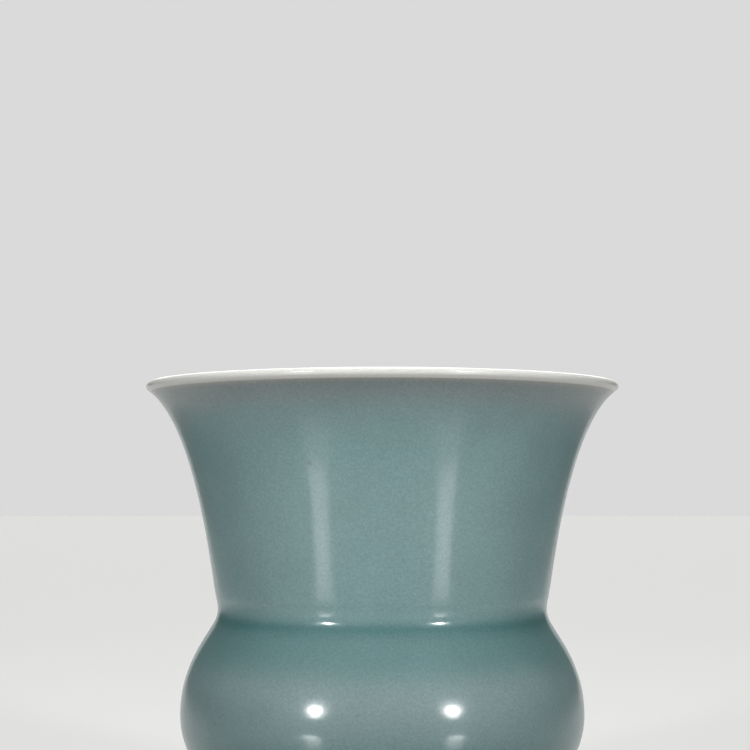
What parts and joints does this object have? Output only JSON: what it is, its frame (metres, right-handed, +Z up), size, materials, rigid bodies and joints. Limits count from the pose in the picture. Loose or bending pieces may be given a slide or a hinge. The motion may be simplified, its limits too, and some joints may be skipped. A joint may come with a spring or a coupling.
{
  "type": "zhadou",
  "caption": "Celadon-glazed porcelain zhadou with trumpet mouth, white lip band, pinched waist, round belly and spreading foot ring; holds waste or flowers.",
  "frame": {"origin": "middle of the foot ring's resting plane, on the axis of turning", "axes": "+Z up along the axis of turning; the jar looks the same all round, +X is any direction"},
  "size_m": [0.09, 0.09, 0.087],
  "materials": {
    "porcelain": "unglazed fired porcelain",
    "slip": "fired slip inside the joint",
    "celadon": "glossy bluish green glaze",
    "white_glaze": "glossy warm white glaze"
  },
  "bodies": {
    "root": {"neck_section": "porcelain", "neck_luting_ring": "slip", "belly_section": "porcelain", "foot_luting_ring": "slip", "foot_ring": "porcelain", "celadon_glaze": "celadon", "lip_glaze": "white_glaze", "lining_glaze": "white_glaze", "base_glaze": "white_glaze"}
  },
  "joints": []
}
